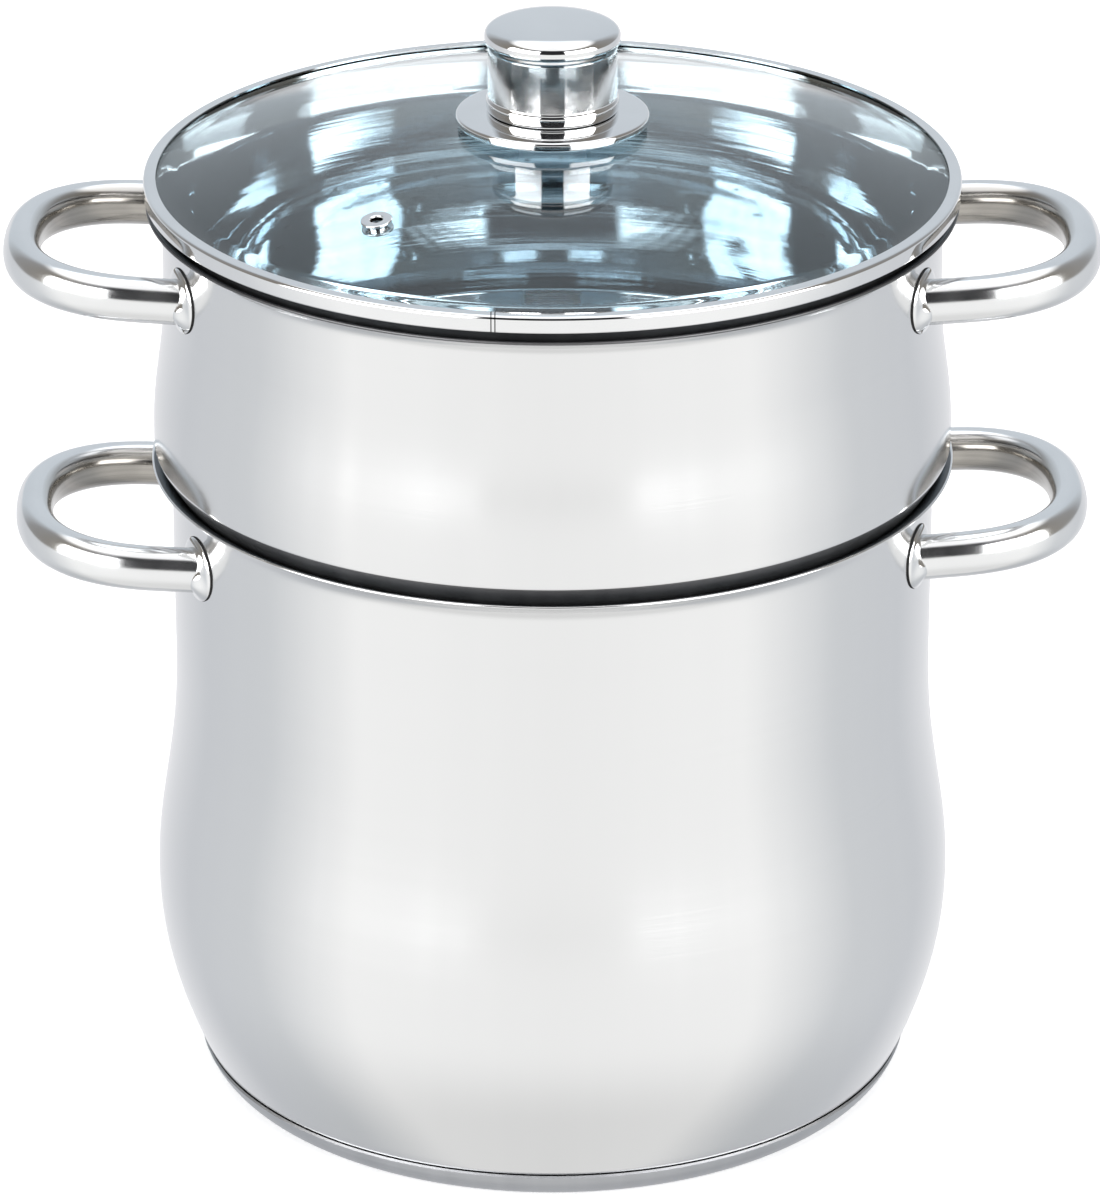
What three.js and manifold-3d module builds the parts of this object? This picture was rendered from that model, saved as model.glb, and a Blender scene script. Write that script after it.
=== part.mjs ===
// Couscoussier: a bellied stockpot, a perforated steamer that nests in its mouth, and a domed glass lid.
// Millimetres, +Z up. The origin is the middle of the base, on the surface that the pot stands on.
import * as THREE from 'three';
import { mergeVertices } from 'three/addons/utils/BufferGeometryUtils.js';
import Module from 'manifold-3d';

const wasm = await Module();
wasm.setup();

// Fits between pieces
const seatGap = 0.3;
const cupClearance = 1.5;
const flangeClearance = 1.5;
const bandOverhang = 0.6;
const threadGap = 0.3;

// Sheet that the pot and the steamer are drawn from, and the bend of their flared lips
const steelSheet = 1.0;
const lipTurn = THREE.MathUtils.degToRad(80);

// Sandwich base: an aluminium disc under a steel cap, which wraps the pot's bottom corner
const baseRadius = 110.2;
const baseHeight = 6.5;
const baseCapSheet = 0.8;
const baseCapInset = 0.7;
const baseCapWrap = THREE.MathUtils.degToRad(58);
const baseCapBulge = 1.25;

// Pot
const potCornerRadius = 8;
const potCornerLean = THREE.MathUtils.degToRad(23);
const potBellyRadius = 130.4;
const potBellyHeight = 68;
const potFootHandle = 20;
const potBellyHandleBelow = 22;
const potBellyHandleAbove = 26;
const potNeckHandle = 37.5;
const potNeckDrawIn = 7.35;
const potNeckRadius = potBellyRadius - potNeckDrawIn;
const potNeckHeight = 146;
const potRimHeight = 214;
const potLipRadius = 8.2;
const potHandleDrop = 21.8;
const potHandleTurn = THREE.MathUtils.degToRad(2.6);

// Steamer, measured up and down from the corner where its shoulder turns in
const steamerStep = 8;
const steamerShoulderLean = THREE.MathUtils.degToRad(32);
const steamerShoulderRadius = 3;
const steamerFilletRadius = 6;
const steamerBellyRise = 6;
const steamerNeckRise = 51;
const steamerCurveHandle = 16;
const steamerNeckDrawIn = 4.1;
const steamerRimRise = 81.56;
const steamerLipRadius = 6.6;
const steamerCupDepth = 29;
const steamerCornerRadius = 8;
const steamerHandleDrop = 19.3;
const holeDiameter = 4;
const holeRingPitch = 24;
const holeRingCount = 4;

// Loop handles, bent from flat-oval tube and welded to the wall through oval pads
const handleArmSpacing = 88;
const handleLoopLength = 42;
const handleStraight = 11;
const handleSquareness = 2.4;
const handleTilt = THREE.MathUtils.degToRad(4);
const tubeWidth = 12;
const tubeHeight = 14.5;
const tubeSquareness = 2.2;
const padWidth = 22;
const padHeight = 21;
const padThickness = 1.6;

// Lid: domed glass in a rolled steel band, with a vent eyelet
const glassThickness = 3.7;
const glassFlatWidth = 6.6;
const glassRise = 16.9;
const glassHoleRadius = 6;
const bandSheet = 0.6;
const bandLipWidth = 4;
const bandFlangeDrop = 12;
const bandRecess = 2.9;
const bandSeatLean = THREE.MathUtils.degToRad(32);
const ventRadius = 87;
const ventAngle = THREE.MathUtils.degToRad(231.5);
const eyeletFlangeRadius = 5;
const eyeletTubeRadius = 2.9;
const eyeletBoreRadius = 2;
const eyeletSheet = 0.8;

// Knob and the screw stack that holds it through the glass
const upperGasketThickness = 2.8;
const lowerGasketThickness = 1.5;
const gasketRadius = 11;
const gasketBoreRadius = 4;
const skirtRadius = 30.7;
const skirtTopRadius = 21.6;
const skirtDrop = 3.9;
const skirtSlope = 0.9;
const skirtEdgeRound = 1.0;
const skirtSheet = 1.2;
const knobHeight = 29.5;
const knobDomeRise = 5;
const knobDomeFlat = 12.5;
const knobDomeBrow = 0.8;
const knobCapSide = 1;
const knobCapRadius = 21.6;
const knobCoveHeight = 3.4;
const knobWaistRadius = 20.5;
const knobWaistHeight = 4.8;
const knobBeadRadius = 21.2;
const knobBeadHeight = 3.4;
const knobWall = 1.1;
const bossHeight = 14;
const bossBoreDepth = 11;
const screwRadius = 3;
const screwEngagement = 10;
const screwHeadRadius = 5.6;
const screwHeadHeight = 3;
const washerRadius = 9;
const washerThickness = 1;

// Facets round the axis
const wallFacets = 40;
const knobFacets = 28;
const smallFacets = 16;
const holeFacets = 6;

const point = (r, z) => new THREE.Vector2(r, z);

function arc(centreR, centreZ, radius, from, to, steps) {
  return Array.from({ length: steps + 1 }, (unused, i) => {
    const angle = from + ((to - from) * i) / steps;
    return point(centreR + radius * Math.cos(angle), centreZ + radius * Math.sin(angle));
  });
}

function bezier(a, b, c, d, steps) {
  return new THREE.CubicBezierCurve(a, b, c, d).getPoints(steps);
}

// A shallow curve from one point up to another, pushed outwards in its middle
function bulged(from, to, rise, steps) {
  const along = to.clone().sub(from).normalize();
  const crown = from.clone().lerp(to, 0.5).add(point(along.y, -along.x).multiplyScalar(2 * rise));
  return bezier(from, from.clone().lerp(crown, 2 / 3), to.clone().lerp(crown, 2 / 3), to, steps);
}

// One closed body: shared corners are merged, empty triangles dropped, and faces turned outwards.
function closed(geometry) {
  const bare = geometry.clone();
  bare.deleteAttribute('normal');
  bare.deleteAttribute('uv');
  const merged = mergeVertices(bare, 1e-4);
  const corners = merged.attributes.position;
  const index = merged.index.array;
  const triangles = [];
  let volume = 0;
  const [a, b, c] = [new THREE.Vector3(), new THREE.Vector3(), new THREE.Vector3()];
  for (let i = 0; i < index.length; i += 3) {
    const [p, q, r] = index.slice(i, i + 3);
    if (p === q || q === r || r === p) continue;
    triangles.push(p, q, r);
    a.fromBufferAttribute(corners, p);
    b.fromBufferAttribute(corners, q);
    c.fromBufferAttribute(corners, r);
    volume += a.dot(b.cross(c));
  }
  merged.setIndex(volume < 0 ? triangles.reverse() : triangles);
  return merged;
}

function solid(geometry) {
  const body = closed(geometry);
  return new wasm.Manifold(new wasm.Mesh({
    numProp: 3,
    vertProperties: new Float32Array(body.attributes.position.array),
    triVerts: new Uint32Array(body.index.array),
  }));
}

function shape(body) {
  const mesh = body.getMesh();
  const geometry = new THREE.BufferGeometry();
  geometry.setAttribute('position', new THREE.BufferAttribute(mesh.vertProperties, 3));
  geometry.setIndex(new THREE.BufferAttribute(mesh.triVerts, 1));
  return geometry;
}

// Turns a profile of (radius, height) points about +Z.
function turned(profile, facets) {
  return closed(new THREE.LatheGeometry(profile, facets).rotateX(Math.PI / 2));
}

function turnedRing(profile, facets) {
  return turned([...profile, profile[0]], facets);
}

function washer(inner, outer, low, high, facets) {
  return turnedRing([point(inner, low), point(outer, low), point(outer, high), point(inner, high)], facets);
}

function disc(radius, low, high, facets) {
  return turned([point(0, low), point(radius, low), point(radius, high), point(0, high)], facets);
}

// Sheet metal vessel: the outer profile, a rounded edge at its mouth, and the same profile one sheet in.
function drawnVessel(outer) {
  const last = outer.length - 1;
  const inner = outer.map((at, i) => {
    const before = outer[Math.max(i - 1, 0)];
    const after = outer[Math.min(i + 1, last)];
    const along = after.clone().sub(before).normalize();
    const inset = point(at.x - along.y * steelSheet, at.y + along.x * steelSheet);
    return i === 0 ? point(0, inset.y) : inset;
  });
  const edge = outer[last].clone().add(inner[last]).multiplyScalar(0.5);
  const outwards = outer[last].clone().sub(outer[last - 1]).setLength(steelSheet / 2);
  return turned([...outer, edge.add(outwards), ...inner.reverse()], wallFacets);
}

// Flared lip: the outer surface bends outwards from the neck, up to the rim's height.
function lipCentre(neckRadius, rimHeight, bendRadius) {
  const middle = bendRadius - steelSheet / 2;
  return point(neckRadius - steelSheet + bendRadius, rimHeight - middle * Math.sin(lipTurn) - steelSheet / 2);
}

function lipProfile(centre, bendRadius) {
  return arc(centre.x, centre.y, bendRadius - steelSheet, Math.PI, Math.PI - lipTurn, 4);
}

function lipReach(centre, bendRadius) {
  const middle = bendRadius - steelSheet / 2;
  return centre.x - middle * Math.cos(lipTurn) + (steelSheet / 2) * Math.sin(lipTurn);
}

const steel = () => new THREE.MeshStandardMaterial({ color: 0xd9dbdc, roughness: 0.28, metalness: 1 });
const polished = () => new THREE.MeshStandardMaterial({ color: 0xe2e4e6, roughness: 0.08, metalness: 1 });
const aluminium = () => new THREE.MeshStandardMaterial({ color: 0xb9bbbd, roughness: 0.45, metalness: 1 });
const silicone = () => new THREE.MeshStandardMaterial({ color: 0xd8d8d4, roughness: 0.6, metalness: 0 });
const tintedGlass = () => new THREE.MeshStandardMaterial({
  color: 0xbfd0d4, roughness: 0.03, metalness: 0, transparent: true, opacity: 0.35,
});

function piece(name, geometry, material) {
  const mesh = new THREE.Mesh(geometry, material);
  mesh.name = name;
  return mesh;
}

// Centre line of a loop handle on the -X side: two straight arms joined by a squared half-oval.
function handlePath(wallRadius) {
  const half = handleArmSpacing / 2;
  const padFace = Math.sqrt(wallRadius ** 2 - half ** 2);
  const bendStart = padFace + handleStraight;
  const root = padFace - padWidth / 2;
  const steps = 12;
  const loop = Array.from({ length: steps + 1 }, (unused, i) => {
    const angle = (Math.PI * i) / steps - Math.PI / 2;
    const across = Math.sign(angle) * half * Math.abs(Math.sin(angle)) ** (2 / handleSquareness);
    const out = handleLoopLength * Math.max(Math.cos(angle), 0) ** (2 / handleSquareness);
    return new THREE.Vector3(-bendStart - out, across, 0);
  });
  const arms = [new THREE.Vector3(-root, -half, 0), ...loop, new THREE.Vector3(-root, half, 0)];
  return new THREE.CatmullRomCurve3(arms);
}

function ovalShape(width, height, squareness, sides) {
  const corners = Array.from({ length: sides }, (unused, i) => {
    const angle = (2 * Math.PI * (i + 0.5)) / sides;
    const [c, s] = [Math.cos(angle), Math.sin(angle)];
    const x = Math.sign(c) * Math.abs(c) ** (2 / squareness) * (width / 2);
    const y = Math.sign(s) * Math.abs(s) ** (2 / squareness) * (height / 2);
    return point(x, y);
  });
  return new THREE.Shape(corners);
}

// One handle and its two pads, on the side that turn gives, against a wall of the given radius.
function addHandle(group, prefix, side, wallRadius, height, turn) {
  const half = handleArmSpacing / 2;
  const padInner = wallRadius + seatGap;
  const padOuter = padInner + padThickness;
  const low = height - padHeight;
  const high = height + padHeight;

  const tube = new THREE.ExtrudeGeometry(ovalShape(tubeHeight, tubeWidth, tubeSquareness, 10), {
    steps: 26,
    extrudePath: handlePath(wallRadius),
  });
  tube.translate(wallRadius, 0, 0).rotateY(handleTilt).translate(-wallRadius, 0, height).rotateZ(turn);
  const keepOut = solid(disc(padOuter + seatGap, low, high, wallFacets));
  group.add(piece(`${prefix}_handle_${side}`, shape(solid(tube).subtract(keepOut)), polished()));

  const shell = solid(washer(padInner, padOuter, low, high, wallFacets));
  const armAngle = Math.asin(half / wallRadius);
  for (const [place, sign] of [['front', side === 'left' ? 1 : -1], ['back', side === 'left' ? -1 : 1]]) {
    const pad = new THREE.ExtrudeGeometry(ovalShape(padHeight, padWidth, 2, 16), {
      depth: padWidth,
      bevelEnabled: false,
    });
    pad.rotateY(-Math.PI / 2).translate(-wallRadius + padWidth / 2, 0, height);
    pad.rotateZ(turn + sign * armAngle);
    group.add(piece(`${prefix}_handle_pad_${side}_${place}`, shape(shell.intersect(solid(pad))), polished()));
  }
}

// Pot: the floor, a tight bottom corner, the belly, the neck and the flared lip
const potFloor = baseHeight + seatGap;
const potLip = lipCentre(potNeckRadius, potRimHeight, potLipRadius);
const potCorner = arc(
  baseRadius, potFloor + potCornerRadius, potCornerRadius, -Math.PI / 2, -potCornerLean, 3,
);
const potFoot = potCorner[potCorner.length - 1];
const potBelly = point(potBellyRadius, potBellyHeight);
const potNeck = point(potNeckRadius, potNeckHeight);
const potFootLead = point(
  potFoot.x + potFootHandle * Math.sin(potCornerLean), potFoot.y + potFootHandle * Math.cos(potCornerLean),
);
const potLower = bezier(
  potFoot, potFootLead, point(potBelly.x, potBelly.y - potBellyHandleBelow), potBelly, 5,
);
const potUpper = bezier(
  potBelly, point(potBelly.x, potBelly.y + potBellyHandleAbove),
  point(potNeck.x, potNeck.y - potNeckHandle), potNeck, 6,
);
const potOuter = [
  point(0, potFloor), ...potCorner, ...potLower.slice(1), ...potUpper.slice(1),
  ...lipProfile(potLip, potLipRadius),
];

const pot = new THREE.Group();
pot.add(piece('pot_body', drawnVessel(potOuter), steel()));
const capRadius = baseRadius - baseCapInset;
const capInnerRadius = capRadius - baseCapSheet / 4;
const capTurn = baseCapWrap - Math.PI / 2;
const capReach = potCornerRadius + seatGap;
const capSeam = (reach) => point(
  baseRadius + reach * Math.cos(capTurn), potFloor + potCornerRadius + reach * Math.sin(capTurn),
);
const coreRadius = capInnerRadius - seatGap;
const coreTop = potFloor - seatGap;
pot.add(piece('pot_base_core', disc(coreRadius, baseCapSheet + seatGap, coreTop, wallFacets), aluminium()));
pot.add(piece('pot_base_cap', turned([
  point(0, 0), ...bulged(point(capRadius, 0), capSeam(capReach + baseCapSheet), baseCapBulge, 4),
  ...bulged(point(capInnerRadius, baseCapSheet), capSeam(capReach), baseCapBulge, 4).reverse(),
  point(0, baseCapSheet),
], wallFacets), steel()));
const potHandleHeight = potRimHeight - potHandleDrop;
addHandle(pot, 'pot', 'left', potNeckRadius, potHandleHeight, potHandleTurn);
addHandle(pot, 'pot', 'right', potNeckRadius, potHandleHeight, Math.PI + potHandleTurn);

// Steamer: a perforated cup that drops into the pot's mouth, and a stepped shoulder that rests on its lip
const cupRadius = potNeckRadius - steelSheet - cupClearance;
const steamerBellyRadius = cupRadius + steamerStep;
const steamerNeckRadius = steamerBellyRadius - steamerNeckDrawIn;
const shoulderHalfTurn = Math.tan(steamerShoulderLean / 2);
const shoulderCentre = point(
  steamerBellyRadius - steamerShoulderRadius, steamerShoulderRadius * shoulderHalfTurn,
);
const shoulderDrop = steamerStep / Math.tan(steamerShoulderLean);
const filletCentre = point(
  cupRadius + steamerFilletRadius, -shoulderDrop - steamerFilletRadius * shoulderHalfTurn,
);
const steamerLip = lipCentre(steamerNeckRadius, steamerRimRise, steamerLipRadius);
const steamerCup = arc(
  cupRadius - steamerCornerRadius, steamerCornerRadius - steamerCupDepth, steamerCornerRadius,
  -Math.PI / 2, 0, 3,
);
const steamerFillet = arc(
  filletCentre.x, filletCentre.y, steamerFilletRadius, Math.PI, Math.PI - steamerShoulderLean, 2,
);
const steamerShoulder = arc(
  shoulderCentre.x, shoulderCentre.y, steamerShoulderRadius, -steamerShoulderLean, 0, 2,
);
const steamerUpper = bezier(
  point(steamerBellyRadius, steamerBellyRise),
  point(steamerBellyRadius, steamerBellyRise + steamerCurveHandle),
  point(steamerNeckRadius, steamerNeckRise - steamerCurveHandle),
  point(steamerNeckRadius, steamerNeckRise), 5,
);
const steamerOuter = [
  point(0, -steamerCupDepth), ...steamerCup, ...steamerFillet, ...steamerShoulder,
  ...steamerUpper, ...lipProfile(steamerLip, steamerLipRadius),
];

let steamerShell = solid(drawnVessel(steamerOuter));
const holeLow = -steamerCupDepth - steelSheet;
const holeHigh = -steamerCupDepth + 2 * steelSheet;
for (let ring = 0; ring <= holeRingCount; ring += 1) {
  const ringRadius = ring * holeRingPitch;
  const count = Math.max(1, Math.round((2 * Math.PI * ringRadius) / holeRingPitch));
  for (let i = 0; i < count; i += 1) {
    const angle = (2 * Math.PI * i) / count;
    const hole = disc(holeDiameter / 2, holeLow, holeHigh, holeFacets);
    hole.translate(ringRadius * Math.cos(angle), ringRadius * Math.sin(angle), 0);
    steamerShell = steamerShell.subtract(solid(hole));
  }
}

// The leaning shoulder rests on the bend of the pot's lip, one seat gap away from it.
const seatReach = potLipRadius + seatGap - (potLip.x - steamerBellyRadius) * Math.cos(steamerShoulderLean);
const seatRise = seatReach / Math.sin(steamerShoulderLean);
const steamer = new THREE.Group();
steamer.position.z = potLip.y + seatRise;
steamer.add(piece('steamer_body', shape(steamerShell), steel()));
const steamerHandleHeight = steamerRimRise - steamerHandleDrop;
addHandle(steamer, 'steamer', 'left', steamerNeckRadius, steamerHandleHeight, 0);
addHandle(steamer, 'steamer', 'right', steamerNeckRadius, steamerHandleHeight, Math.PI);

// Lid, measured from the underside of its band, whose leaning seat rests on the bend of the steamer's lip
const lid = new THREE.Group();
lid.position.z = steamer.position.z + steamerRimRise + bandRecess;
const bandRadius = lipReach(steamerLip, steamerLipRadius) + bandOverhang;
const bandHeight = glassThickness + 2 * (bandSheet + seatGap);
const flangeRadius = steamerNeckRadius - steelSheet - flangeClearance;
const lipDepth = steamerRimRise + bandRecess - steamerLip.y;
const seatOffset = (steamerLipRadius + seatGap) / Math.cos(bandSeatLean);
const seatRadius = steamerLip.x + lipDepth * Math.tan(bandSeatLean) - seatOffset;
const seatDrop = (seatRadius - flangeRadius) / Math.tan(bandSeatLean);
const seatSheet = bandSheet / Math.cos(bandSeatLean);
const seatInnerRadius = seatRadius + bandSheet * Math.tan(bandSeatLean) - seatSheet;
const seatInnerDrop = seatDrop - (seatSheet - bandSheet) / Math.tan(bandSeatLean);
lid.add(piece('lid_rim_band', turnedRing([
  point(flangeRadius - bandSheet, -bandFlangeDrop), point(flangeRadius, -bandFlangeDrop),
  point(flangeRadius, -seatDrop), point(seatRadius, 0),
  point(bandRadius, 0), point(bandRadius, bandHeight),
  point(bandRadius - bandLipWidth, bandHeight), point(bandRadius - bandLipWidth, bandHeight - bandSheet),
  point(bandRadius - bandSheet, bandHeight - bandSheet), point(bandRadius - bandSheet, bandSheet),
  point(seatInnerRadius, bandSheet), point(flangeRadius - bandSheet, -seatInnerDrop),
], wallFacets), polished()));

// Glass: a flat edge held in the band, and a spherical dome with a hole for the knob and one for the vent
const glassRadius = bandRadius - bandSheet - seatGap;
const glassLow = bandSheet + seatGap;
const domeRadius = glassRadius - glassFlatWidth;
const domeFoot = glassLow + glassThickness;
const domeSphere = (domeRadius ** 2 + glassRise ** 2) / (2 * glassRise);
const domeTop = domeFoot + glassRise;
const domeCentre = domeTop - domeSphere;
const domeArc = (sphere, innerRadius, outerRadius) => arc(
  0, domeCentre, sphere, Math.acos(outerRadius / sphere), Math.acos(innerRadius / sphere), 5,
);
const glassBlank = turnedRing([
  ...domeArc(domeSphere, glassHoleRadius, domeRadius).reverse(),
  point(glassRadius, domeFoot), point(glassRadius, glassLow),
  ...domeArc(domeSphere - glassThickness, glassHoleRadius, domeRadius),
], wallFacets);
const ventTilt = Math.asin(ventRadius / domeSphere);
const ventHeight = domeCentre + domeSphere * Math.cos(ventTilt);
const vent = new THREE.Group();
vent.position.set(ventRadius * Math.cos(ventAngle), ventRadius * Math.sin(ventAngle), ventHeight);
vent.rotation.set(0, ventTilt, ventAngle, 'ZYX');
vent.updateMatrix();
const ventHole = disc(eyeletTubeRadius + seatGap, -2 * glassThickness, glassThickness, smallFacets);
ventHole.applyMatrix4(vent.matrix);
lid.add(piece('lid_glass', shape(solid(glassBlank).subtract(solid(ventHole))), tintedGlass()));

const eyeletLow = -glassThickness - seatGap - eyeletSheet;
const eyeletHigh = seatGap + eyeletSheet;
vent.add(piece('lid_vent_eyelet', turnedRing([
  point(eyeletBoreRadius, eyeletLow), point(eyeletFlangeRadius, eyeletLow),
  point(eyeletFlangeRadius, eyeletLow + eyeletSheet), point(eyeletTubeRadius, eyeletLow + eyeletSheet),
  point(eyeletTubeRadius, seatGap), point(eyeletFlangeRadius, seatGap),
  point(eyeletFlangeRadius - eyeletSheet / 2, eyeletHigh), point(eyeletBoreRadius, eyeletHigh),
], smallFacets), polished()));
lid.add(vent);

// Knob: a domed cap over a threaded boss, on a skirt and gasket, held by one screw from below
const upperGasketLow = domeTop + seatGap;
const upperGasketHigh = upperGasketLow + upperGasketThickness;
lid.add(piece('knob_upper_gasket', washer(
  gasketBoreRadius, gasketRadius, upperGasketLow, upperGasketHigh, smallFacets,
), silicone()));

const skirtLow = upperGasketHigh + seatGap;
const skirtTop = skirtLow + skirtSheet;
const skirtEdge = skirtTop - skirtDrop;
const skirtBrow = skirtTop - skirtSlope;
lid.add(piece('knob_skirt', turnedRing([
  point(gasketBoreRadius, skirtLow), point(skirtTopRadius - skirtSheet, skirtLow),
  point(skirtRadius - skirtSheet, skirtBrow - skirtSheet), point(skirtRadius - skirtSheet, skirtEdge),
  point(skirtRadius, skirtEdge), point(skirtRadius, skirtBrow - skirtEdgeRound),
  point(skirtRadius - skirtEdgeRound, skirtBrow), point(skirtTopRadius, skirtTop),
  point(gasketBoreRadius, skirtTop),
], knobFacets), polished()));

const knobLow = skirtTop + seatGap;
const knobTop = knobLow + knobHeight;
const knobShoulder = knobTop - knobDomeRise;
const knobCapLow = knobShoulder - knobCapSide;
const knobBore = knobWaistRadius - knobWall;
const knobDome = bezier(
  point(0, knobTop), point(knobDomeFlat, knobTop),
  point(knobCapRadius, knobTop - knobDomeBrow), point(knobCapRadius, knobShoulder), 6,
);
lid.add(piece('knob_cap', turned([
  ...knobDome, point(knobCapRadius, knobCapLow), point(knobWaistRadius, knobCapLow - knobCoveHeight),
  point(knobWaistRadius, knobLow + knobWaistHeight), point(knobBeadRadius, knobLow + knobBeadHeight),
  point(knobBeadRadius, knobLow + knobBeadHeight / 2), point(knobWaistRadius, knobLow),
  point(knobBore, knobLow), point(knobBore, knobShoulder), point(0, knobTop - 2 * knobWall),
], knobFacets), polished()));

const bossTop = knobLow + bossHeight;
const bossBore = screwRadius + threadGap;
lid.add(piece('knob_boss', turned([
  point(0, bossTop), point(0, knobLow + bossBoreDepth), point(bossBore, knobLow + bossBoreDepth),
  point(bossBore, knobLow), point(knobBore - seatGap, knobLow), point(knobBore - seatGap, bossTop),
  point(0, bossTop),
], knobFacets), aluminium()));

const lowerGasketHigh = domeTop - glassThickness - seatGap;
const lowerGasketLow = lowerGasketHigh - lowerGasketThickness;
lid.add(piece('knob_lower_gasket', washer(
  gasketBoreRadius, gasketRadius, lowerGasketLow, lowerGasketHigh, smallFacets,
), silicone()));
const washerHigh = lowerGasketLow - seatGap;
const washerLow = washerHigh - washerThickness;
lid.add(piece('knob_screw_washer', washer(
  screwRadius + threadGap, washerRadius, washerLow, washerHigh, smallFacets,
), steel()));
const headHigh = washerLow - seatGap;
lid.add(piece('knob_screw', turned([
  point(0, headHigh - screwHeadHeight), point(screwHeadRadius, headHigh - screwHeadHeight),
  point(screwHeadRadius, headHigh), point(screwRadius, headHigh),
  point(screwRadius, knobLow + screwEngagement), point(0, knobLow + screwEngagement),
], smallFacets), steel()));

const couscoussier = new THREE.Group();
couscoussier.add(pot, steamer, lid);

export default couscoussier;
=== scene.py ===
import math

import bmesh
import bpy
from mathutils import Matrix


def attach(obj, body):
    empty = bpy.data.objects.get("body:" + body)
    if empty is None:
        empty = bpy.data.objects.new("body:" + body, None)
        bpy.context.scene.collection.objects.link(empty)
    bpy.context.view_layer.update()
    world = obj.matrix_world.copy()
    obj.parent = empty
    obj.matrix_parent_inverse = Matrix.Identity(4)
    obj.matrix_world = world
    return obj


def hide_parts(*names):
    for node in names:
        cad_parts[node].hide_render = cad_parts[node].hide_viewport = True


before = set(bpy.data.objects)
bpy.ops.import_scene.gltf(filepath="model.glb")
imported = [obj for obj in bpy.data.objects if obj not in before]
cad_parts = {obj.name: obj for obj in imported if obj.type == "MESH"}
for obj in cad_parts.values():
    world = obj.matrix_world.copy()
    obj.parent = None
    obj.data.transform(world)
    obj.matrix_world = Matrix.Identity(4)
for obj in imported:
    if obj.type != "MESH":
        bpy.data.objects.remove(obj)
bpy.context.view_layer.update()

# Base cap: a shallow pressed dish of brushed stainless sheet under the pot.
# It closes the heat disc and wraps the pot's bottom corner; its inside carries painted shade, near-black, so
# that its open edge shows as a thin dark seam.
mm = 0.001
cap_floor_radius = 109.5
cap_inner_radius = 109.3
cap_sheet = 0.8
cap_bulge = 1.25
cap_seam = (117.48, 9.34)
cap_inner_seam = (116.96, 9.94)
cap_floor_ring = 60


def arc(centre_r, centre_z, radius, start, end, steps):
    """Points of (radius, height) along a bend, with its angles in degrees."""
    angles = [math.radians(start + (end - start) * i / steps) for i in range(steps + 1)]
    return [(centre_r + radius * math.cos(a), centre_z + radius * math.sin(a)) for a in angles]


def bezier(a, b, c, d, steps):
    """Points along a curve from a to d, which b and c pull."""
    points = []
    for i in range(steps + 1):
        t = i / steps
        weights = ((1 - t) ** 3, 3 * t * (1 - t) ** 2, 3 * t * t * (1 - t), t ** 3)
        points.append(tuple(sum(w * p[k] for w, p in zip(weights, (a, b, c, d))) for k in (0, 1)))
    return points


def bulged(start, end, rise, steps):
    """A shallow curve from one point up to another, pushed outwards in its middle."""
    (r0, z0), (r1, z1) = start, end
    size = math.dist(start, end)
    crown = (
        (r0 + r1) / 2 + (z1 - z0) / size * 2 * rise,
        (z0 + z1) / 2 - (r1 - r0) / size * 2 * rise,
    )
    lead, tail = [tuple(p[k] + (crown[k] - p[k]) * 2 / 3 for k in (0, 1)) for p in (start, end)]
    return bezier(start, lead, tail, end, steps)


def joined(*runs):
    """One run of points from several, without the points that two runs share."""
    points = []
    for run in runs:
        for p in run:
            if not points or math.dist(p, points[-1]) > 1e-4:
                points.append(p)
    return points


def turned(name, section, segments=192, ring=True, zones=None):
    """Spin a section of (radius, height) points, in millimetres, about the pot's axis.

    A ring joins its last point to its first, and zones give each step of the section its material.
    """
    corners, faces, finishes, rows = [], [], [], []
    turns = [2 * math.pi * i / segments for i in range(segments)]
    for r, z in section:
        if r < 1e-6:
            rows.append([len(corners)] * segments)
            corners.append((0, 0, z * mm))
        else:
            rows.append(range(len(corners), len(corners) + segments))
            corners += [(r * mm * math.cos(a), r * mm * math.sin(a), z * mm) for a in turns]
    steps = list(zip(rows, rows[1:])) + ([(rows[-1], rows[0])] if ring else [])
    for step, (low, high) in enumerate(steps):
        for i in range(segments):
            j = (i + 1) % segments
            face = list(dict.fromkeys((low[i], low[j], high[j], high[i])))
            if len(face) > 2:
                faces.append(face)
                finishes.append(zones[step] if zones else 0)
    mesh = bpy.data.meshes.new(name)
    mesh.from_pydata(corners, [], faces)
    mesh.polygons.foreach_set("material_index", finishes)
    return placed(name, mesh)


def placed(name, mesh, crease=32):
    """Turn the faces outwards, shade them smooth up to the crease angle, and put the piece in the scene."""
    work = bmesh.new()
    work.from_mesh(mesh)
    bmesh.ops.remove_doubles(work, verts=work.verts, dist=1e-7)
    bmesh.ops.recalc_face_normals(work, faces=work.faces)
    work.to_mesh(mesh)
    work.free()
    mesh.shade_smooth()
    mesh.set_sharp_from_angle(angle=math.radians(crease))
    piece = bpy.data.objects.new(name, mesh)
    bpy.context.scene.collection.objects.link(piece)
    return piece


def wire(tree, kind, inputs=(), **settings):
    """Add a node, with its settings, and set or link its inputs."""
    made = tree.nodes.new(kind)
    for key, value in settings.items():
        setattr(made, key, value)
    for key, value in dict(inputs).items():
        if isinstance(value, bpy.types.NodeSocket):
            tree.links.new(value, made.inputs[key])
        else:
            made.inputs[key].default_value = value
    return made


def maths(tree, operation, *values):
    """Add a maths node and give its result."""
    return wire(tree, "ShaderNodeMath", dict(enumerate(values)), operation=operation).outputs[0]


def mixed(tree, share, first, second):
    """Blend two colours, each given as a colour or as a socket."""
    first, second = (c if isinstance(c, bpy.types.NodeSocket) else (*c, 1) for c in (first, second))
    return wire(tree, "ShaderNodeMix", {0: share, 6: first, 7: second}, data_type="RGBA").outputs[2]


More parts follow.
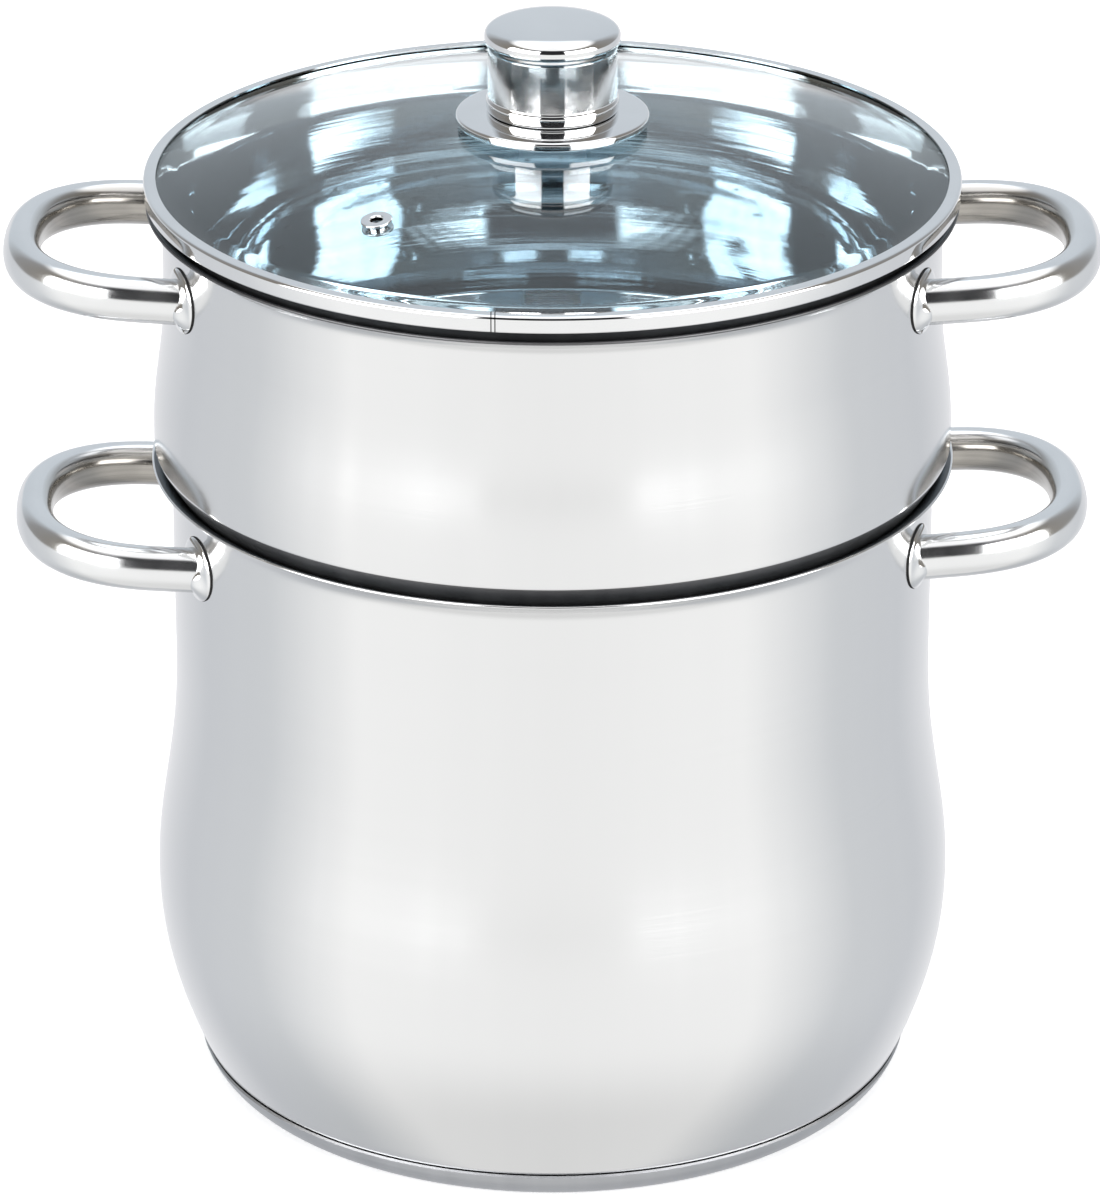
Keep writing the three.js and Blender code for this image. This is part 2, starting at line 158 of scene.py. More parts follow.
def spun_steel(name, bright, dull, smooth, rough, groove, stretch, rings_per_metre=4200.0, depth=0.00004):
    """Sheet steel finished on a spinning lathe: fine rings, soft streaks, and gloss drawn out across them."""
    material = bpy.data.materials.new(name)
    material.use_nodes = True
    tree = material.node_tree
    shader = tree.nodes["Principled BSDF"]
    shader.inputs["Metallic"].default_value = 1.0
    shader.inputs["Anisotropic"].default_value = stretch
    shader.inputs["Anisotropic Rotation"].default_value = 0.25
    tangent = wire(tree, "ShaderNodeTangent", direction_type="RADIAL", axis="Z")
    tree.links.new(tangent.outputs[0], shader.inputs["Tangent"])

    ring_drift, streak_count, streak_drift = 6.0, 17.0, 2.5
    place = wire(tree, "ShaderNodeTexCoord").outputs["Object"]
    x, y, z = wire(tree, "ShaderNodeSeparateXYZ", {0: place}).outputs
    square = maths(tree, "ADD", maths(tree, "MULTIPLY", x, x), maths(tree, "MULTIPLY", y, y))
    radius = maths(tree, "SQRT", square)
    across = maths(tree, "ADD", radius, z)
    ring = wire(tree, "ShaderNodeCombineXYZ", {
        0: maths(tree, "MULTIPLY", across, rings_per_metre),
        1: maths(tree, "MULTIPLY", x, ring_drift),
        2: maths(tree, "MULTIPLY", y, ring_drift),
    })
    rings = wire(tree, "ShaderNodeTexNoise", {"Vector": ring.outputs[0], "Scale": 1.0, "Detail": 4.0})
    around = maths(tree, "MAXIMUM", radius, 0.001)
    streak = wire(tree, "ShaderNodeCombineXYZ", {
        0: maths(tree, "MULTIPLY", maths(tree, "DIVIDE", x, around), streak_count),
        1: maths(tree, "MULTIPLY", maths(tree, "DIVIDE", y, around), streak_count),
        2: maths(tree, "MULTIPLY", across, streak_drift),
    })
    streaks = wire(tree, "ShaderNodeTexNoise", {"Vector": streak.outputs[0], "Scale": 1.0, "Detail": 3.0})
    ring_share = maths(tree, "MULTIPLY", rings.outputs[0], 0.6)
    streak_share = maths(tree, "MULTIPLY", streaks.outputs[0], 0.4)
    blend = maths(tree, "ADD", ring_share, streak_share)
    tree.links.new(mixed(tree, blend, dull, bright), shader.inputs["Base Color"])
    gloss = wire(tree, "ShaderNodeMapRange", {0: blend, 1: 0.3, 2: 0.7, 3: smooth, 4: rough})
    tree.links.new(gloss.outputs[0], shader.inputs["Roughness"])
    bump = wire(tree, "ShaderNodeBump", {"Strength": groove, "Distance": depth, "Height": rings.outputs[0]})
    tree.links.new(bump.outputs[0], shader.inputs["Normal"])
    return material


base_steel = spun_steel("base_steel", (0.62, 0.63, 0.65), (0.44, 0.45, 0.47), 0.34, 0.5, 0.5, 0.3)
# Painted shade: a near-black steel put on faces that sit in shade (the base cap's inside, the pads' outer
# edges, the walls of the steam holes), so that those gaps read dark.
painted_shade_steel = spun_steel("painted_shade_steel", (0.07, 0.07, 0.07), (0.03, 0.03, 0.03), 0.5, 0.7, 0.4, 0.0)
cap_side = bulged((cap_floor_radius, 0), cap_seam, cap_bulge, 12)
cap_inside = bulged((cap_inner_radius, cap_sheet), cap_inner_seam, cap_bulge, 12)[::-1]
cap_section = joined(
    [(0, 0), (cap_floor_ring, 0)], cap_side,
    cap_inside, [(cap_floor_ring, cap_sheet), (0, cap_sheet)],
)
# The outside steps take the brushed steel, and the inside steps take the painted shade.
outer_steps = len(cap_side) + 2
inner_steps = len(cap_section) - 1 - outer_steps
base_cap = turned("base_cap", cap_section, ring=False, zones=[0] * outer_steps + [1] * inner_steps)
base_cap.data.materials.append(base_steel)
base_cap.data.materials.append(painted_shade_steel)
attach(base_cap, "pot")
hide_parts("pot_base_cap")

# Heat disc: a plain aluminium blank pressed between the pot's floor and the base cap.
# It is out of sight behind the cap, so it keeps the frame's own mesh under a cast grain.
def cast_metal(name, bright, dull, grain):
    """Cast metal with a fine even grain, whose fineness is in grains to the metre."""
    material = bpy.data.materials.new(name)
    material.use_nodes = True
    tree = material.node_tree
    shader = tree.nodes["Principled BSDF"]
    shader.inputs["Metallic"].default_value = 1.0
    place = wire(tree, "ShaderNodeTexCoord").outputs["Object"]
    grains = wire(tree, "ShaderNodeTexNoise", {"Vector": place, "Scale": grain, "Detail": 5.0})
    tree.links.new(mixed(tree, grains.outputs[0], dull, bright), shader.inputs["Base Color"])
    gloss = wire(tree, "ShaderNodeMapRange", {0: grains.outputs[0], 1: 0.3, 2: 0.7, 3: 0.35, 4: 0.55})
    tree.links.new(gloss.outputs[0], shader.inputs["Roughness"])
    bump = wire(tree, "ShaderNodeBump", {"Strength": 0.3, "Distance": 0.00005, "Height": grains.outputs[0]})
    tree.links.new(bump.outputs[0], shader.inputs["Normal"])
    return material


aluminium = cast_metal("cast_aluminium", (0.72, 0.72, 0.73), (0.58, 0.58, 0.6), 900.0)
heat_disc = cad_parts["pot_base_core"]
heat_disc.data.materials.clear()
heat_disc.data.materials.append(aluminium)

# Pot: one deep-drawn stainless sheet, with a tight foot, a round belly, a neck and a flared lip.
# It is spun to a satin outside and inside, and its lip is rolled out and left bright.
sheet = 1.0
pot_floor = 6.8
pot_floor_radius = 110.2
foot_bend = 8.0
foot_lean = 23
foot_lead = (125.38, 30.08)
belly_radius = 130.4
belly_height = 68
belly_lead_below = 22
belly_lead_above = 26
pot_neck_radius = 123.05
pot_neck_height = 146
pot_neck_lead = 37.5
pot_lip_centre = (130.25, 205.92)
pot_lip_bend = 8.2
pot_handle_height = 192.2
pot_handle_turn = math.radians(2.6)
arm_half = 44.0
weld_mark_width = 7.5
weld_mark_height = 8.0
weld_mark_depth = 0.8


def line(a, b, steps):
    """Points along a straight run."""
    return [(a[0] + (b[0] - a[0]) * i / steps, a[1] + (b[1] - a[1]) * i / steps) for i in range(steps + 1)]


def drawn_section(outside, thick):
    """The outside line, a rounded edge at the mouth, and the inside line one sheet further in.

    Its zones are 0 on the outside, 1 on the inside and 2 at the mouth's edge.
    """
    edge_steps = 6
    inside = []
    for i, (r, z) in enumerate(outside):
        before, after = outside[max(i - 1, 0)], outside[min(i + 1, len(outside) - 1)]
        dr, dz = after[0] - before[0], after[1] - before[1]
        size = math.hypot(dr, dz)
        inside.append((max(r - dz / size * thick, 0) if i else 0, z + dr / size * thick))
    (r0, z0), (r1, z1) = outside[-1], inside[-1]
    middle = ((r0 + r1) / 2, (z0 + z1) / 2)
    lead = math.degrees(math.atan2(z0 - middle[1], r0 - middle[0]))
    edge = arc(*middle, thick / 2, lead, lead + 180, edge_steps)
    section = outside + edge[1:-1] + inside[::-1]
    inner_steps = len(section) - len(outside) - edge_steps
    return section, [0] * (len(outside) - 1) + [2] * edge_steps + [1] * inner_steps


def weld_marks(vessel, wall_radius, height, turn):
    """Press the shallow oval marks of the pads' welds into the inside of the wall."""
    arm_angle = math.asin(arm_half / wall_radius)
    spots = [side + sign * arm_angle + turn for side in (0, math.pi) for sign in (1, -1)]
    for corner in vessel.data.vertices:
        x, y, z = corner.co / mm
        r = math.hypot(x, y)
        if abs(z - height) < weld_mark_height and r < wall_radius - sheet / 2:
            for spot in spots:
                off = (math.atan2(y, x) - spot + math.pi) % (2 * math.pi) - math.pi
                reach = math.hypot(off * r / weld_mark_width, (z - height) / weld_mark_height)
                if reach < 1:
                    push = weld_mark_depth * (1 - reach ** 4)
                    corner.co.x -= push * x / r * mm
                    corner.co.y -= push * y / r * mm


# Painted shade: a dark dull steel for the steamer's hidden shoulder and lip edge and for the band's hidden
# flange and step, so that the crevices between the parts read black.
painted_seat_shade_steel = spun_steel("painted_seat_shade_steel", (0.19, 0.19, 0.195), (0.11, 0.11, 0.115), 0.36, 0.5, 0.4, 0.2)
satin_steel = spun_steel("satin_steel", (0.86, 0.862, 0.866), (0.80, 0.802, 0.808), 0.1, 0.16, 0.1, 0.3)
inner_steel = spun_steel(
    "inner_steel", (0.93, 0.95, 0.96), (0.52, 0.62, 0.68), 0.02, 0.07, 0.5, 0.2,
    rings_per_metre=340.0, depth=0.00009,
)
foot = arc(pot_floor_radius, pot_floor + foot_bend, foot_bend, -90, -foot_lean, 8)
pot_belly = (belly_radius, belly_height)
pot_neck = (pot_neck_radius, pot_neck_height)
pot_section, pot_zones = drawn_section(joined(
    line((0, pot_floor), (pot_floor_radius, pot_floor), 6), foot,
    bezier(foot[-1], foot_lead, (belly_radius, belly_height - belly_lead_below), pot_belly, 20),
    bezier(
        pot_belly, (belly_radius, belly_height + belly_lead_above),
        (pot_neck_radius, pot_neck_height - pot_neck_lead), pot_neck, 24,
    ),
    line(pot_neck, (pot_neck_radius, pot_lip_centre[1]), 30),
    arc(*pot_lip_centre, pot_lip_bend - sheet, 180, 100, 10),
), sheet)
pot = turned("pot_shell", pot_section, ring=False, zones=pot_zones)
weld_marks(pot, pot_neck_radius, pot_handle_height, pot_handle_turn)
for finish in (satin_steel, inner_steel, satin_steel):
    pot.data.materials.append(finish)
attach(pot, "pot")
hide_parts("pot_body")

# Loop handles, two on the pot and two on the steamer: flat-oval stainless tube bent to a squared loop.
# Their arms rise slightly outwards, are polished bright, and end on the oval pads that carry them.
loop_length = 41.9
arm_straight = 11.0
arm_sink = 5.0
loop_squareness = 2.4
loop_tilt = math.radians(4)
tube_size = (12.0, 14.5)
tube_squareness = 2.2
tube_sides = 40
end_flare = 0.1
pad_thickness = 1.6
seat_gap = 0.3
steamer_neck_radius = 124.45
steamer_handle_height = 281.5
handle_places = (
    ("pot", pot_neck_radius, pot_handle_height, pot_handle_turn),
    ("steamer", steamer_neck_radius, steamer_handle_height, 0.0),
)


def polished_steel(name, bright, dull, smooth, rough):
    """Mirror-polished steel: faint buffing haze and the slight ripple that hand polishing leaves."""
    material = bpy.data.materials.new(name)
    material.use_nodes = True
    tree = material.node_tree
    shader = tree.nodes["Principled BSDF"]
    shader.inputs["Metallic"].default_value = 1.0
    place = wire(tree, "ShaderNodeTexCoord").outputs["Object"]
    haze = wire(tree, "ShaderNodeTexNoise", {"Vector": place, "Scale": 60.0, "Detail": 6.0})
    tree.links.new(mixed(tree, haze.outputs[0], dull, bright), shader.inputs["Base Color"])
    gloss = wire(tree, "ShaderNodeMapRange", {0: haze.outputs[0], 1: 0.35, 2: 0.7, 3: smooth, 4: rough})
    tree.links.new(gloss.outputs[0], shader.inputs["Roughness"])
    ripple = wire(tree, "ShaderNodeTexNoise", {"Vector": place, "Scale": 140.0, "Detail": 1.0})
    bump = wire(tree, "ShaderNodeBump", {"Strength": 0.06, "Distance": 0.0002, "Height": ripple.outputs[0]})
    tree.links.new(bump.outputs[0], shader.inputs["Normal"])
    return material


def painted_loop_shade(material):
    """Paint shade on the side of a bent tube that faces into its loop: darker tones streaked along the tube,
    a painted shade and reflection.
    """
    tree = material.node_tree
    shader = tree.nodes["Principled BSDF"]
    side = wire(tree, "ShaderNodeAttribute", attribute_name="side").outputs["Fac"]
    inside = wire(tree, "ShaderNodeMapRange", {0: side, 1: -0.3, 2: -0.85, 3: 0.0, 4: 1.0}).outputs[0]
    lines_across = maths(tree, "MULTIPLY", side, 9.0)
    drawn = wire(tree, "ShaderNodeTexNoise", {"W": lines_across, "Detail": 3.0}, noise_dimensions="1D")
    shade_tone = mixed(tree, drawn.outputs[0], (0.16, 0.15, 0.14), (0.66, 0.63, 0.58))
    plain = shader.inputs["Base Color"].links[0].from_socket
    tree.links.new(mixed(tree, inside, plain, shade_tone), shader.inputs["Base Color"])
    return material


buffed, hazy = (0.9, 0.905, 0.912), (0.82, 0.825, 0.83)
mirror_steel = polished_steel("mirror_steel", buffed, hazy, 0.03, 0.09)
# Painted shade: the loops' inner side is darkened and streaked as a painted reflection.
loop_steel = painted_loop_shade(polished_steel("loop_steel", buffed, hazy, 0.12, 0.2))


def oval_tube_tree():
    """Sweep a squared oval section along a path of edges, kept upright, and flared a little at both ends."""
    tree = bpy.data.node_groups.new("bent_oval_tube", "GeometryNodeTree")
    ask = tree.interface.new_socket
    ask("Path", in_out="INPUT", socket_type="NodeSocketGeometry")
    for size in ("Tube Width", "Tube Height", "Squareness", "End Flare"):
        ask(size, in_out="INPUT", socket_type="NodeSocketFloat")
    ask("Finish", in_out="INPUT", socket_type="NodeSocketMaterial")
    ask("Tube", in_out="OUTPUT", socket_type="NodeSocketGeometry")
    given = wire(tree, "NodeGroupInput").outputs

    centre = wire(tree, "GeometryNodeMeshToCurve", {"Mesh": given["Path"]}).outputs[0]
    upright = wire(tree, "GeometryNodeSetCurveNormal", {"Curve": centre}, mode="Z_UP").outputs[0]
    factor = wire(tree, "GeometryNodeSplineParameter").outputs["Factor"]
    along = maths(tree, "SUBTRACT", maths(tree, "MULTIPLY", factor, 2.0), 1.0)
    from_middle = maths(tree, "ABSOLUTE", along)
    flare = wire(tree, "ShaderNodeMapRange", {
        "Value": from_middle, 1: 0.93, 2: 1.0, 3: 1.0, 4: maths(tree, "ADD", given["End Flare"], 1.0),
    }, interpolation_type="SMOOTHSTEP").outputs[0]
    sized = wire(tree, "GeometryNodeSetCurveRadius", {"Curve": upright, "Radius": flare}).outputs[0]

    circle = wire(tree, "GeometryNodeCurvePrimitiveCircle", {
        "Resolution": tube_sides, "Radius": 1.0,
    }).outputs["Curve"]
    round_place = wire(tree, "GeometryNodeInputPosition").outputs[0]
    across = wire(tree, "ShaderNodeSeparateXYZ", {0: round_place}).outputs
    power = maths(tree, "DIVIDE", 2.0, given["Squareness"])
    squared = []
    for side, size in ((across[0], given["Tube Width"]), (across[1], given["Tube Height"])):
        reach = maths(tree, "POWER", maths(tree, "ABSOLUTE", side), power)
        half = maths(tree, "MULTIPLY", size, 0.5)
        signed = maths(tree, "MULTIPLY", maths(tree, "SIGN", side), reach)
        squared.append(maths(tree, "MULTIPLY", signed, half))
    corner = wire(tree, "ShaderNodeCombineXYZ", {0: squared[0], 1: squared[1]}).outputs[0]
    marked = wire(tree, "GeometryNodeStoreNamedAttribute", {
        "Geometry": circle, "Name": "side", "Value": across[0],
    }, data_type="FLOAT", domain="POINT").outputs[0]
    section = wire(tree, "GeometryNodeSetPosition", {"Geometry": marked, "Position": corner}).outputs[0]

    swept = wire(tree, "GeometryNodeCurveToMesh", {
        "Curve": sized, "Profile Curve": section, "Fill Caps": True,
    }).outputs[0]
    real = wire(tree, "GeometryNodeRealizeInstances", {"Geometry": swept}).outputs[0]
    finished = wire(tree, "GeometryNodeSetMaterial", {
        "Geometry": real, "Material": given["Finish"],
    }).outputs[0]
    wire(tree, "NodeGroupOutput", {"Tube": finished})
    return tree


def made_by(tree, name, start, settings):
    """Run a node tree on a mesh and keep its result as a plain mesh."""
    work = bpy.data.objects.new(name + "_work", start)
    bpy.context.scene.collection.objects.link(work)
    step = work.modifiers.new("make", "NODES")
    step.node_group = tree
    for item in tree.interface.items_tree:
        if item.in_out == "INPUT" and item.name in settings:
            step[item.identifier] = settings[item.name]
    ready = work.evaluated_get(bpy.context.evaluated_depsgraph_get())
    mesh = bpy.data.meshes.new_from_object(ready)
    mesh.name = name
    work.modifiers.remove(step)
    bpy.data.objects.remove(work)
    return mesh


bent_tube = oval_tube_tree()


def loop_handle(name, wall_radius, height, turn):
    """One bent tube on the -X side, tilted up from the wall and turned to its place."""
    arm_end = math.sqrt(wall_radius ** 2 - arm_half ** 2)
    bend = arm_end + arm_straight
    arm = line((arm_end - arm_sink, arm_half), (bend, arm_half), 10)
    loop, loop_steps = [], 72
    for i in range(loop_steps + 1):
        angle = math.pi / 2 - math.pi * i / loop_steps
        side = math.copysign(abs(math.sin(angle)) ** (2 / loop_squareness), angle) * arm_half
        loop.append((bend + loop_length * max(math.cos(angle), 0) ** (2 / loop_squareness), side))
    route = joined(arm, loop, [(x, -y) for x, y in arm[::-1]])
    path = bpy.data.meshes.new(name + "_path")
    path.from_pydata(
        [(-x * mm, y * mm, 0) for x, y in route], [(i, i + 1) for i in range(len(route) - 1)], [],
    )
    tube = made_by(bent_tube, name, path, {
        "Tube Width": tube_size[0] * mm, "Tube Height": tube_size[1] * mm,
        "Squareness": tube_squareness, "End Flare": end_flare, "Finish": loop_steel,
    })
    wall = wall_radius * mm
    tilt = Matrix.Translation((-wall, 0, height * mm)) @ Matrix.Rotation(loop_tilt, 4, "Y")
    tube.transform(tilt @ Matrix.Translation((wall, 0, 0)))
    sunk = wall + (seat_gap + pad_thickness / 2) * mm
    for corner in tube.vertices:
        if corner.co.xy.length < sunk:
            corner.co.x = -math.sqrt(sunk ** 2 - corner.co.y ** 2)
    tube.transform(Matrix.Rotation(turn, 4, "Z"))
    return placed(name, tube)


for vessel, wall_radius, height, turn in handle_places:
    for side, half_turn in (("left", 0.0), ("right", math.pi)):
        handle = loop_handle(f"{vessel}_{side}_loop", wall_radius, height, turn + half_turn)
        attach(handle, vessel)
        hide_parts(f"{vessel}_handle_{side}")

# Handle pads: eight small oval plates of polished sheet, curved to the wall.
# Each is welded to the wall round its middle, and carries one arm of a handle.
pad_width = 22.0
pad_height = 21.0
pad_edge_stand = 0.06
pad_fullness = 5
boss_place = (3.6, -2.6)
boss_size = (6.2, 7.2)
boss_rise = 2.6


def weld_pad(name, wall_radius, height, turn, outer_side):
    """A crowned oval that follows the wall, closed behind, with a boss on the side away from the loop."""
    rings, around = 20, 64
    corners, faces = [], []

    def on_wall(share, step, stand):
        angle = 2 * math.pi * step / around
        s, t = share * math.cos(angle) * pad_width / 2, share * math.sin(angle) * pad_height / 2
        boss = math.hypot((s - outer_side * boss_place[0]) / boss_size[0], (t - boss_place[1]) / boss_size[1])
        r = wall_radius + stand + (boss_rise * (0.5 + 0.5 * math.cos(math.pi * boss)) if boss < 1 else 0)
        a = turn + s / wall_radius
        return (-r * math.cos(a) * mm, -r * math.sin(a) * mm, (height + t) * mm)

    shares = [math.sin(math.pi / 2 * i / rings) for i in range(rings, 0, -1)]
    pad_top = seat_gap + pad_thickness
    stands = [pad_edge_stand] + [
        pad_edge_stand + (pad_top - pad_edge_stand) * math.sqrt(1 - s ** pad_fullness) for s in shares[1:]
    ]
    for share, stand in zip(shares, stands):
        corners += [on_wall(share, step, stand) for step in range(around)]
    top, bottom = len(corners), len(corners) + 1
    corners += [on_wall(0, 0, pad_top), on_wall(0, 0, pad_edge_stand)]
    for ring in range(rings - 1):
        for i in range(around):
            j = (i + 1) % around
            low, high = ring * around, (ring + 1) * around
            faces.append((low + i, low + j, high + j, high + i))
    last = (rings - 1) * around
    for i in range(around):
        j = (i + 1) % around
        faces += [(last + i, last + j, top), (j, i, bottom)]
    mesh = bpy.data.meshes.new(name)
    mesh.from_pydata(corners, [], faces)
    # Painted shade: the two outermost rings of faces take the dark finish, a dark outline where the pad meets
    # the wall.
    painted_shade_rim = 2 * around
    mesh.polygons.foreach_set("material_index", [int(i < painted_shade_rim) for i in range(len(faces))])
    return placed(name, mesh, crease=50)


for vessel, wall_radius, height, turn in handle_places:
    arm_angle = math.asin(arm_half / wall_radius)
    for side, half_turn, front in (("left", 0.0, 1), ("right", math.pi, -1)):
        for end, sign in (("front", front), ("back", -front)):
            pad_turn = turn + half_turn + sign * arm_angle
            pad = weld_pad(f"{vessel}_{side}_{end}_pad", wall_radius, height, pad_turn, sign)
            for finish in (mirror_steel, painted_shade_steel):
                pad.data.materials.append(finish)
            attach(pad, vessel)
            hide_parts(f"{vessel}_handle_pad_{side}_{end}")

# Steamer: one drawn stainless sheet with a cup that drops into the pot's mouth.
# Its shoulder rests on the pot's lip, and its floor is punched with rings of steam holes. The shoulder's
# underside, the lip's rolled edge and the walls of the holes carry painted shade, so that those crevices read
# dark.
cup_radius = 120.55
cup_floor = 190.2
cup_corner = 8.0
steamer_belly = 128.55
steamer_belly_height = 225.2
steamer_neck_height = 270.2
steamer_lead = 16.0
shoulder_lean = 32.0
shoulder_bend = 3.0
shoulder_fillet = 6.0
shoulder_height = 219.241
steamer_lip_centre = (130.05, 294.294)
steamer_lip_bend = 6.6
hole_diameter = 4.0
hole_ring_pitch = 24.0
hole_rings = 4
hole_sides = 20
steamer_segments = 320


def punched_floor_tree():
    """Cut rings of round holes through a floor, and paint shade on the walls of the holes with a dark finish.
    """
    tree = bpy.data.node_groups.new("punched_floor", "GeometryNodeTree")
    ask = tree.interface.new_socket
    ask("Vessel", in_out="INPUT", socket_type="NodeSocketGeometry")
    for size in ("Hole Diameter", "Ring Pitch", "Floor Height", "Punch Length"):
        ask(size, in_out="INPUT", socket_type="NodeSocketFloat")
    ask("Painted Shade Finish", in_out="INPUT", socket_type="NodeSocketMaterial")
    ask("Punched", in_out="OUTPUT", socket_type="NodeSocketGeometry")
    given = wire(tree, "NodeGroupInput").outputs
    gather = wire(tree, "GeometryNodeJoinGeometry")
    for ring in range(hole_rings + 1):
        if ring:
            points = wire(tree, "GeometryNodeMeshCircle", {
                "Vertices": round(2 * math.pi * ring),
                "Radius": maths(tree, "MULTIPLY", given["Ring Pitch"], float(ring)),
            }).outputs[0]
        else:
            points = wire(tree, "GeometryNodeMeshLine", {"Count": 1}).outputs[0]
        tree.links.new(points, gather.inputs[0])
    punch = wire(tree, "GeometryNodeMeshCylinder", {
        "Vertices": hole_sides, "Radius": maths(tree, "MULTIPLY", given["Hole Diameter"], 0.5),
        "Depth": given["Punch Length"],
    }).outputs[0]
    spread = wire(tree, "GeometryNodeInstanceOnPoints", {
        "Points": gather.outputs[0], "Instance": punch,
    }).outputs[0]
    lift = wire(tree, "ShaderNodeCombineXYZ", {2: given["Floor Height"]}).outputs[0]
    raised = wire(tree, "GeometryNodeTranslateInstances", {
        "Instances": spread, "Translation": lift,
    }).outputs[0]
    punches = wire(tree, "GeometryNodeRealizeInstances", {"Geometry": raised}).outputs[0]
    cut = wire(tree, "GeometryNodeMeshBoolean", {
        "Mesh 1": given["Vessel"], "Mesh 2": punches,
    }, operation="DIFFERENCE")
    real = wire(tree, "GeometryNodeRealizeInstances", {"Geometry": cut.outputs[0]}).outputs[0]
    normal = wire(tree, "GeometryNodeInputNormal").outputs[0]
    facing = wire(tree, "ShaderNodeSeparateXYZ", {0: normal}).outputs[2]
    place = wire(tree, "GeometryNodeInputPosition").outputs[0]
    level = wire(tree, "ShaderNodeSeparateXYZ", {0: place}).outputs[2]
    upright = maths(tree, "LESS_THAN", maths(tree, "ABSOLUTE", facing), 0.2)
    floor_rise = maths(tree, "MULTIPLY", given["Punch Length"], 0.2)
    floor_top = maths(tree, "ADD", given["Floor Height"], floor_rise)
    hole_wall = maths(tree, "MULTIPLY", upright, maths(tree, "LESS_THAN", level, floor_top))
    # Painted shade: the walls of the holes take the dark finish, so that the holes read dark.
    finished = wire(tree, "GeometryNodeSetMaterial", {
        "Geometry": real, "Selection": hole_wall, "Material": given["Painted Shade Finish"],
    }).outputs[0]
    wire(tree, "NodeGroupOutput", {"Punched": finished})
    return tree


half_lean = math.tan(math.radians(shoulder_lean / 2))
fillet_height = shoulder_height - (steamer_belly - cup_radius) / math.tan(math.radians(shoulder_lean))
fillet_centre = (cup_radius + shoulder_fillet, fillet_height - shoulder_fillet * half_lean)
bend_centre = (steamer_belly - shoulder_bend, shoulder_height + shoulder_bend * half_lean)
steamer_neck = (steamer_neck_radius, steamer_neck_height)
steamer_section, steamer_zones = drawn_section(joined(
    line((0, cup_floor), (cup_radius - cup_corner, cup_floor), 8),
    arc(cup_radius - cup_corner, cup_floor + cup_corner, cup_corner, -90, 0, 8),
    arc(*fillet_centre, shoulder_fillet, 180, 180 - shoulder_lean, 6),
    arc(*bend_centre, shoulder_bend, -shoulder_lean, 0, 6),
    bezier(
        (steamer_belly, steamer_belly_height), (steamer_belly, steamer_belly_height + steamer_lead),
        (steamer_neck_radius, steamer_neck_height - steamer_lead), steamer_neck, 18,
    ),
    line(steamer_neck, (steamer_neck_radius, steamer_lip_centre[1]), 28),
    arc(*steamer_lip_centre, steamer_lip_bend - sheet, 180, 100, 10),
), sheet)
# Painted shade: zone 2 holds the dark seat finish, which the lip's rolled edge already has, and the
# shoulder's underside is given it too.
hidden_low, hidden_high = fillet_height - shoulder_fillet, shoulder_height + 0.1
for step, zone in enumerate(steamer_zones):
    if zone == 0 and hidden_low < steamer_section[step + 1][1] < hidden_high:
        steamer_zones[step] = 2
blank = turned("steamer_blank", steamer_section, steamer_segments, ring=False, zones=steamer_zones)
weld_marks(blank, steamer_neck_radius, steamer_handle_height, 0.0)
for finish in (satin_steel, inner_steel, painted_seat_shade_steel):
    blank.data.materials.append(finish)
punched = made_by(punched_floor_tree(), "steamer_shell", blank.data, {
    "Hole Diameter": hole_diameter * mm, "Ring Pitch": hole_ring_pitch * mm,
    "Floor Height": (cup_floor + sheet / 2) * mm, "Punch Length": 4 * sheet * mm, "Painted Shade Finish": painted_shade_steel,
})
bpy.data.objects.remove(blank)
steamer = placed("steamer_shell", punched)
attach(steamer, "steamer")
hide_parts("steamer_body")

# Rim band: a strip of polished steel rolled round the edge of the glass and butted at a seam in front.
# Its lower flange drops into the steamer's mouth, and its leaning step rests on the steamer's lip. The
# flange, the step and the band's underside carry painted shade, so that the gap under the band reads black.
band_radius = 130.083
band_low = 303.7
band_height = 5.5
band_sheet = 0.6
band_lip = 4.0
seat_lean = math.radians(32)
seat_radius = 127.798
flange_radius = 121.95
flange_drop = 12.0
band_top = band_low + band_height
seat_low = band_low - (seat_radius - flange_radius) / math.tan(seat_lean)
seat_sheet = band_sheet / math.cos(seat_lean)
seat_inner_low = seat_low + (seat_sheet - band_sheet) / math.tan(seat_lean)
band_low_round = 0.8
band_top_round = 1.2
seam_middle = -17.9
seam_half_gap = 0.6
seam_line = 0.17


def butted_strip(material):
    """Draw the two fine dark lines of the strip's butted ends across the front of the band."""
    tree = material.node_tree
    shader = tree.nodes["Principled BSDF"]
    place = wire(tree, "ShaderNodeTexCoord").outputs["Object"]
    x, y, _ = wire(tree, "ShaderNodeSeparateXYZ", {0: place}).outputs
    from_middle = maths(tree, "ABSOLUTE", maths(tree, "SUBTRACT", x, seam_middle * mm))
    from_line = maths(tree, "ABSOLUTE", maths(tree, "SUBTRACT", from_middle, seam_half_gap * mm))
    near = maths(tree, "LESS_THAN", from_line, seam_line * mm)
    here = maths(tree, "MULTIPLY", near, maths(tree, "LESS_THAN", y, 0.0))
    plain = shader.inputs["Base Color"].links[0].from_socket
    tree.links.new(mixed(tree, here, plain, (0.03, 0.03, 0.03)), shader.inputs["Base Color"])
    return material


